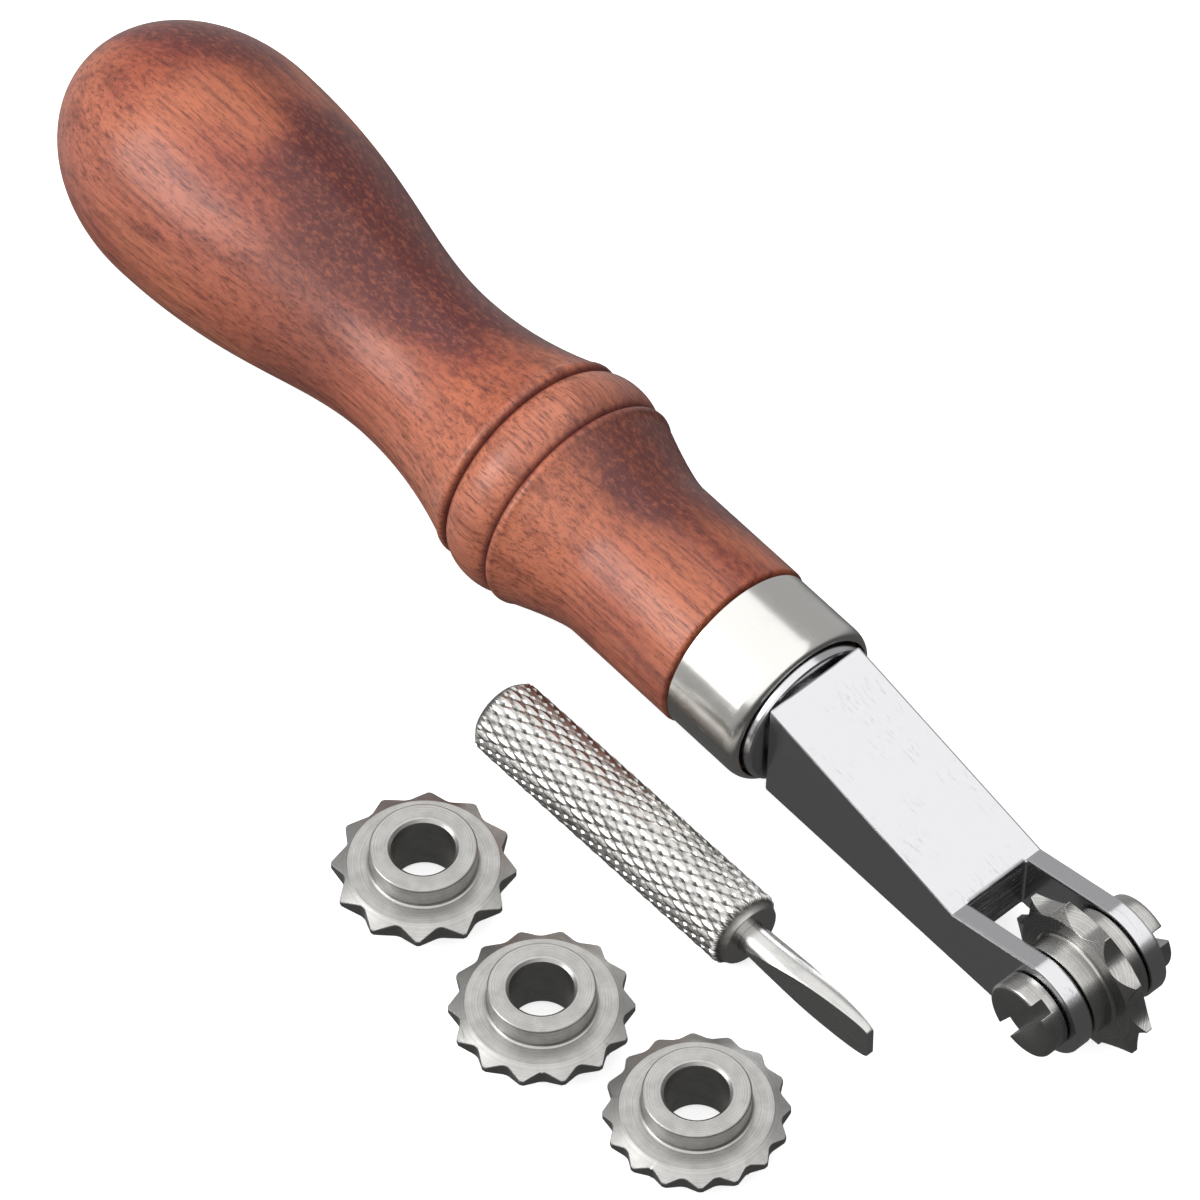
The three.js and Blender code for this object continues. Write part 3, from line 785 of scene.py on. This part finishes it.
spread = noise(turning_marks, given.outputs["Vector"], 700, 3, 0.6)
turning_marks.links.new(spread, put_out.inputs["Spread"])

TURNED_BRIGHT = (0.47, 0.465, 0.45, 1)
TURNED_DARK = (0.27, 0.265, 0.255, 1)


def finish_turned(piece, place, marks_per_metre=9000.0, ring_depth=0.000006, base=0.27):
    """Gives a turned steel piece its own finish, ringed about its own axis."""
    material, tree, shader = start_material(piece.name + "_turned_steel", 1, base)
    own = place_on(tree, place)
    marks = apply_group(tree, turning_marks, Vector=own, Pitch=marks_per_metre)
    rings = step_up(tree, marks["Rings"], 0.35, 0.65)
    shade = math_node(tree, "ADD", math_node(tree, "MULTIPLY", rings, 0.42),
                      math_node(tree, "MULTIPLY", step_up(tree, marks["Spread"], 0.3, 0.7), 0.3))
    tree.links.new(mix_colours(tree, shade, TURNED_BRIGHT, TURNED_DARK), shader.inputs["Base Color"])
    tree.links.new(graded(tree, shade, base, 0.16), shader.inputs["Roughness"])
    tree.links.new(bump(tree, rings, ring_depth, 0.6), shader.inputs["Normal"])
    piece.data.materials.append(material)


FITTED_TEETH = 10
fitted_wheel = toothed_wheel("fitted_wheel_10", FITTED_TEETH, round_cutter)
stand_on_two_teeth = math.pi - math.pi / FITTED_TEETH
fitted_place = (
    Matrix.Translation(axle)
    @ Matrix.Rotation(math.pi / 2, 4, "Z")
    @ Matrix.Rotation(stand_on_two_teeth, 4, "X")
)
lay(fitted_wheel, fitted_place, smooth_angle=20)
finish_turned(fitted_wheel, fitted_place, 7000.0, 0.000006, 0.2)
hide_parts("wheel_10_teeth")
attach(fitted_wheel, "fitted_wheel")

LOOSE_WHEELS = ((12, 15), (14, 23), (16, 5))  # teeth, and the degrees that each is turned by

for teeth, turned_by in LOOSE_WHEELS:
    node = f"spare_wheel_{teeth}_teeth"
    low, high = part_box(node)
    spare = toothed_wheel(f"loose_wheel_{teeth}", teeth, wedge_cutter)
    spare_place = (
        Matrix.Translation((low + high) / 2)
        @ Matrix.Rotation(math.radians(turned_by), 4, "Z")
        @ Matrix.Rotation(math.pi / 2, 4, "Y")
    )
    lay(spare, spare_place, smooth_angle=20)
    finish_turned(spare, spare_place)
    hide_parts(node)
    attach(spare, f"spare_{teeth}")


# Axle: a barrel with an internal thread goes in through the far ear and the wheel, and a screw
# goes into it from the near ear. Each is turned steel, with a slot milled across its head.

BARREL_RADIUS = 0.00272
HEAD_RADIUS = 0.00375
HEAD_EDGE = 0.0004
HEAD_GAP = 0.00015
BARREL_HEAD_HEIGHT = 0.0017
SCREW_HEAD_HEIGHT = 0.0023
SCREW_RADIUS = 0.0016
SCREW_LENGTH = 0.0075
BARREL_BORE_RADIUS = 0.00175
BARREL_END_GAP = 0.0003
SLOT_IN_HEAD_WIDTH = 0.0015
SLOT_IN_HEAD_DEPTH = 0.0012
SCREW_SLOT_TURN = 61.5
BARREL_SLOT_TURN = 42
seat = FORK_WIDTH / 2


def rounded_head(height, start):
    """The profile of a head whose outer edge is rounded, from its underside to its face."""
    face = start + height
    return [
        (start, HEAD_RADIUS - 0.0001), (start + 0.0001, HEAD_RADIUS),
        (face - HEAD_EDGE, HEAD_RADIUS),
    ] + curve([
        (face - HEAD_EDGE, HEAD_RADIUS), (face, HEAD_RADIUS), (face, HEAD_RADIUS - HEAD_EDGE),
    ], 6) + [(face, POLE_RADIUS)]


def mill_slot(piece, face, slot_turn):
    """A screwdriver slot across the end at face, turned about the piece's own X."""
    bpy.ops.object.select_all(action="DESELECT")
    bpy.ops.mesh.primitive_cube_add(size=1, location=(face, 0, 0))
    cutter = bpy.context.object
    cutter.scale = (2 * SLOT_IN_HEAD_DEPTH, 4 * HEAD_RADIUS, SLOT_IN_HEAD_WIDTH)
    cutter.rotation_euler = (math.radians(slot_turn), 0, 0)
    bpy.ops.object.transform_apply()
    cut(piece, cutter)
    break_edges(piece, 0.00006, 2, 40)


barrel_open_end = BARREL_END_GAP - seat
barrel_bore_end = SCREW_LENGTH - seat + BARREL_END_GAP
barrel = turn("slotted_axle_barrel", [
    (barrel_bore_end, POLE_RADIUS),
    (barrel_bore_end, BARREL_BORE_RADIUS),
    (barrel_open_end + 0.0002, BARREL_BORE_RADIUS),
    (barrel_open_end, BARREL_BORE_RADIUS + 0.0002),
    (barrel_open_end, BARREL_RADIUS - 0.0001),
    (barrel_open_end + 0.0001, BARREL_RADIUS),
    (seat + HEAD_GAP, BARREL_RADIUS),
] + rounded_head(BARREL_HEAD_HEIGHT - HEAD_GAP, seat + HEAD_GAP), 96)
mill_slot(barrel, seat + BARREL_HEAD_HEIGHT, -BARREL_SLOT_TURN)
screw_end = seat - SCREW_LENGTH
screw = turn("slotted_axle_screw", [
    (screw_end, POLE_RADIUS),
    (screw_end, SCREW_RADIUS - 0.0003),
    (screw_end + 0.0003, SCREW_RADIUS),
    (seat + HEAD_GAP, SCREW_RADIUS),
] + rounded_head(SCREW_HEAD_HEIGHT - HEAD_GAP, seat + HEAD_GAP), 96)
mill_slot(screw, seat + SCREW_HEAD_HEIGHT, SCREW_SLOT_TURN)

for piece, node, body, outward in (
    (barrel, "axle_barrel", "barrel", 90), (screw, "axle_screw", "screw", -90),
):
    axle_place = (
        tool_place
        @ Matrix.Translation((AXLE_AHEAD, 0, -AXLE_DROP))
        @ Matrix.Rotation(math.radians(outward), 4, "Z")
    )
    lay(piece, axle_place)
    finish_turned(piece, axle_place, 9000.0, 0.000004, 0.2)
    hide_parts(node)
    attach(piece, body)


# Screwdriver grip: a steel rod, knurled all round with crossing helical grooves, chamfered at
# both ends and bored at the front for the blade's stem.

GRIP_LENGTH = 0.0325
GRIP_RADIUS = 0.0037
GRIP_CHAMFER = 0.0007
GRIP_BUTT_CHAMFER = 0.0003
GRIP_FACE_RADIUS = 0.00295
STEM_HOLE_RADIUS = 0.00148
STEM_HOLE_DEPTH = 0.0093
KNURL_STARTS = 22
KNURL_PITCH = 0.0022  # along the grip, from one diamond to the next
KNURL_DEPTH = 0.00015
KNURL_SHOULDER = 0.00005
PIT_DEPTH = 0.00036  # where two grooves cross
STEPS_PER_DIAMOND = 4

columns = KNURL_STARTS * STEPS_PER_DIAMOND
knurl_rear = GRIP_BUTT_CHAMFER - GRIP_LENGTH
knurl_front = -GRIP_CHAMFER
rows = round((knurl_front - knurl_rear) / (KNURL_PITCH / STEPS_PER_DIAMOND))
row_length = (knurl_front - knurl_rear) / rows
end_radius = GRIP_RADIUS - PIT_DEPTH

bpy.ops.object.select_all(action="DESELECT")
bpy.ops.mesh.primitive_cylinder_add(
    vertices=columns, radius=GRIP_RADIUS, depth=knurl_front - knurl_rear,
    end_fill_type="NOTHING", location=((knurl_front + knurl_rear) / 2, 0, 0),
    rotation=(0, math.pi / 2, 0),
)
grip = bpy.context.object
grip.name = "knurled_grip"
bpy.ops.object.transform_apply()
bpy.ops.object.mode_set(mode="EDIT")
bpy.ops.mesh.select_mode(type="EDGE")
bpy.ops.mesh.select_all(action="DESELECT")
mesh = bmesh.from_edit_mesh(grip.data)
for edge in mesh.edges:
    first, second = (vertex.co for vertex in edge.verts)
    edge.select_set(abs(first.x - second.x) > row_length)
bmesh.update_edit_mesh(grip.data)
bpy.ops.mesh.subdivide(number_cuts=rows - 1)
bpy.ops.mesh.select_mode(type="VERT")
bpy.ops.mesh.select_all(action="SELECT")
bpy.ops.mesh.poke()


def knurl_steps(co):
    """How many half steps a point lies from the nearest groove of each hand."""
    round_grip = round(math.atan2(co.z, co.y) / (2 * math.pi) * 2 * columns)
    along_grip = round((co.x - knurl_rear) / row_length * 2)
    period = 2 * STEPS_PER_DIAMOND
    return tuple(
        min((round_grip + hand * along_grip) % period, -(round_grip + hand * along_grip) % period)
        for hand in (1, -1)
    )


def sink(chosen, radius):
    select_vertices(chosen)
    share = radius / GRIP_RADIUS
    bpy.ops.transform.resize(value=(1, share, share), center_override=(0, 0, 0))


def at_an_end(co):
    return min(abs(co.x - knurl_rear), abs(co.x - knurl_front)) < row_length / 4


sink(lambda co: not at_an_end(co) and min(knurl_steps(co)) == 2, GRIP_RADIUS - KNURL_SHOULDER)
sink(lambda co: not at_an_end(co) and min(knurl_steps(co)) == 0 and max(knurl_steps(co)) > 0,
     GRIP_RADIUS - KNURL_DEPTH)
sink(lambda co: not at_an_end(co) and max(knurl_steps(co)) == 0, GRIP_RADIUS - PIT_DEPTH)
sink(at_an_end, end_radius)
select_vertices(lambda co: abs(co.x - knurl_front) < row_length / 4)
draw_out([
    (knurl_front, end_radius), (-0.0001, GRIP_FACE_RADIUS + 0.0001), (0, GRIP_FACE_RADIUS),
    (0, STEM_HOLE_RADIUS), (-STEM_HOLE_DEPTH, STEM_HOLE_RADIUS), (-STEM_HOLE_DEPTH, POLE_RADIUS),
])
select_vertices(lambda co: abs(co.x - knurl_rear) < row_length / 4)
draw_out([
    (knurl_rear, end_radius), (-GRIP_LENGTH, end_radius - GRIP_BUTT_CHAMFER),
    (-GRIP_LENGTH, POLE_RADIUS),
])
bpy.ops.mesh.select_all(action="SELECT")
bpy.ops.mesh.fill_holes(sides=0)
bpy.ops.mesh.select_all(action="SELECT")
bpy.ops.mesh.normals_make_consistent(inside=False)
bpy.ops.object.mode_set(mode="OBJECT")
grip_low, grip_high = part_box("driver_grip")
grip_middle = (grip_low + grip_high) / 2
driver_place = Matrix.Translation((grip_high.x, grip_middle.y, grip_middle.z))
lay(grip, driver_place, smooth_angle=20)

KNURL_BRIGHT = (0.51, 0.50, 0.48, 1)
# The dark of the painted shade in the knurl's grooves and pits.
KNURL_GROOVE_SHADE = (0.07, 0.068, 0.060, 1)
knurled_steel, tree, shader = start_material("knurled_steel", 1, 0.3)
own = place_on(tree, driver_place)
axes = add(tree, "SeparateXYZ", Vector=own)
radius = math_node(tree, "SQRT", math_node(
    tree, "ADD", math_node(tree, "POWER", axes.outputs["Y"], 2),
    math_node(tree, "POWER", axes.outputs["Z"], 2)))
on_the_knurl = math_node(
    tree, "MULTIPLY", step_up(tree, axes.outputs["X"], -GRIP_LENGTH, knurl_rear),
    inverse(tree, step_up(tree, axes.outputs["X"], knurl_front, 0)))
sunken = inverse(tree, step_up(
    tree, radius, GRIP_RADIUS - PIT_DEPTH, GRIP_RADIUS - 0.7 * KNURL_DEPTH))
in_grooves = math_node(tree, "MULTIPLY", sunken, on_the_knurl)
# Painted shade: the knurl's sunken grooves and pits are painted dark, patchily, and are rougher
# there.
patchy_noise = noise(tree, own, 1500, 3, 0.6)
groove_shade = math_node(tree, "MULTIPLY", in_grooves, graded(tree, patchy_noise, 0.6, 0.5), clamp=True)
tree.links.new(mix_colours(tree, groove_shade, KNURL_BRIGHT, KNURL_GROOVE_SHADE), shader.inputs["Base Color"])
tree.links.new(graded(tree, groove_shade, 0.27, 0.3), shader.inputs["Roughness"])
tree.links.new(bump(tree, patchy_noise, 0.00002, 0.4), shader.inputs["Normal"])
grip.data.materials.append(knurled_steel)
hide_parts("driver_grip")
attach(grip, "driver")


# Screwdriver blade: a round steel stem pressed into the grip, forged out to a spade and ground
# to a thin wedge. It lies with its flats upright.

STEM_RADIUS = 0.00145
STEM_DEPTH = 0.009
BLADE_LENGTH = 0.0152
BLADE_FULL_AT = 0.0117
BLADE_HALF_WIDTH = 0.0022
BLADE_TIP_HALF_WIDTH = 0.0015
BLADE_TIP_THICKNESS = 0.0007
FLATS_START = 0.0012
FLATS_PRECISION = 1e-7

blade = turn("spade_blade", [
    (-STEM_DEPTH, POLE_RADIUS),
    (-STEM_DEPTH, STEM_RADIUS - 0.0002),
    (-STEM_DEPTH + 0.0002, STEM_RADIUS),
    (0, STEM_RADIUS),
] + curve([
    (0, STEM_RADIUS), (BLADE_FULL_AT / 2, STEM_RADIUS),
    (BLADE_FULL_AT / 2, BLADE_HALF_WIDTH), (BLADE_FULL_AT, BLADE_HALF_WIDTH),
], 48) + curve([
    (BLADE_FULL_AT, BLADE_HALF_WIDTH), (BLADE_LENGTH, BLADE_HALF_WIDTH),
    (BLADE_LENGTH, BLADE_TIP_HALF_WIDTH),
], 16) + [(BLADE_LENGTH, POLE_RADIUS)], 144)
wedge = Vector((STEM_RADIUS - BLADE_TIP_THICKNESS / 2, BLADE_LENGTH - FLATS_START, 0)).normalized()
bpy.context.view_layer.objects.active = blade
bpy.ops.object.mode_set(mode="EDIT")
for side in (1, -1):
    bpy.ops.mesh.select_all(action="SELECT")
    bpy.ops.mesh.bisect(
        plane_co=(FLATS_START, side * STEM_RADIUS, 0), plane_no=(wedge.x, side * wedge.y, 0),
        use_fill=True, clear_outer=True, threshold=FLATS_PRECISION,
    )
bpy.ops.object.mode_set(mode="OBJECT")
lay(blade, driver_place, smooth_angle=12)

BLADE_BRIGHT = (0.56, 0.555, 0.54, 1)
BLADE_DULL = (0.40, 0.40, 0.39, 1)
blade_steel, tree, shader = start_material("ground_blade_steel", 1, 0.26)
own = place_on(tree, driver_place)
marks = apply_group(tree, scratches, Vector=own, Density=3600.0, Length=260.0)["Mask"]
cloudy = noise(tree, own, 900, 3, 0.55)
shade = math_node(tree, "ADD", math_node(tree, "MULTIPLY", marks, 0.6),
                  math_node(tree, "MULTIPLY", cloudy, 0.4))
tree.links.new(mix_colours(tree, shade, BLADE_BRIGHT, BLADE_DULL), shader.inputs["Base Color"])
tree.links.new(graded(tree, shade, 0.22, 0.2), shader.inputs["Roughness"])
tree.links.new(bump(tree, shade, 0.00002, 0.4), shader.inputs["Normal"])
blade.data.materials.append(blade_steel)
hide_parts("driver_blade")
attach(blade, "driver")


# Bench and studio light: a plain pale bench that isn't mirrored in the steel, a broad soft light
# overhead and a smaller one from the accessories' side. The surround is dark low down and towards
# +X and pale above and behind, which gives the steel its dark and bright faces.

BENCH_GLOW = 0.68
OVERHEAD_PLACE = (0.15, -0.7, 0.9)
OVERHEAD_SIZE = (2.0, 2.8)
OVERHEAD_WATTS = 17.5
SIDE_TOWARDS = (-0.45, -0.73, 0.51)
SIDE_SIZE = (0.5, 0.7)
SIDE_WATTS = 5
SURROUND_DARK = (0.10, 0.10, 0.10, 1)
SURROUND_PALE = (0.52, 0.52, 0.52, 1)
SURROUND_TILT = 0.8  # how much it darkens towards +X, against 1 downwards
SURROUND_EDGE = (-0.42, 0.05)

bpy.ops.object.select_all(action="DESELECT")
bpy.ops.mesh.primitive_plane_add(size=8, location=(0, 0, 0))
bench = bpy.context.object
bench.name = "studio_bench"
bench.visible_glossy = False
bench.visible_diffuse = False
pale, tree, shader = start_material("pale_bench", 0, 0.9)
shader.inputs["Base Color"].default_value = (0.7, 0.7, 0.7, 1)
shader.inputs["Emission Color"].default_value = (1, 1, 1, 1)
shader.inputs["Emission Strength"].default_value = BENCH_GLOW
shader.inputs["Specular IOR Level"].default_value = 0
bench.data.materials.append(pale)


def softbox(name, place, turned, size, watts):
    bpy.ops.object.select_all(action="DESELECT")
    bpy.ops.object.light_add(type="AREA", location=place, rotation=turned)
    light = bpy.context.object
    light.name = name
    light.data.shape = "RECTANGLE"
    light.data.size, light.data.size_y = size
    light.data.energy = watts


softbox("overhead_softbox", OVERHEAD_PLACE, (0, 0, 0), OVERHEAD_SIZE, OVERHEAD_WATTS)
side_place = Vector(SIDE_TOWARDS).normalized()
side_turn = side_place.to_track_quat("Z", "Y").to_euler()
softbox("side_softbox", side_place, side_turn, SIDE_SIZE, SIDE_WATTS)

world = bpy.data.worlds.new("studio_surround")
world.use_nodes = True
bpy.context.scene.world = world
sky = world.node_tree
seen = add(sky, "SeparateXYZ", Vector=sky.nodes.new("ShaderNodeTexCoord").outputs["Generated"])
darker_ahead = math_node(sky, "SUBTRACT", seen.outputs["Z"], math_node(
    sky, "MULTIPLY", seen.outputs["X"], SURROUND_TILT))
surround = mix_colours(
    sky, step_up(sky, darker_ahead, *SURROUND_EDGE), SURROUND_DARK, SURROUND_PALE)
sky.links.new(surround, sky.nodes["Background"].inputs["Color"])
bpy.context.scene.view_settings.view_transform = "Standard"
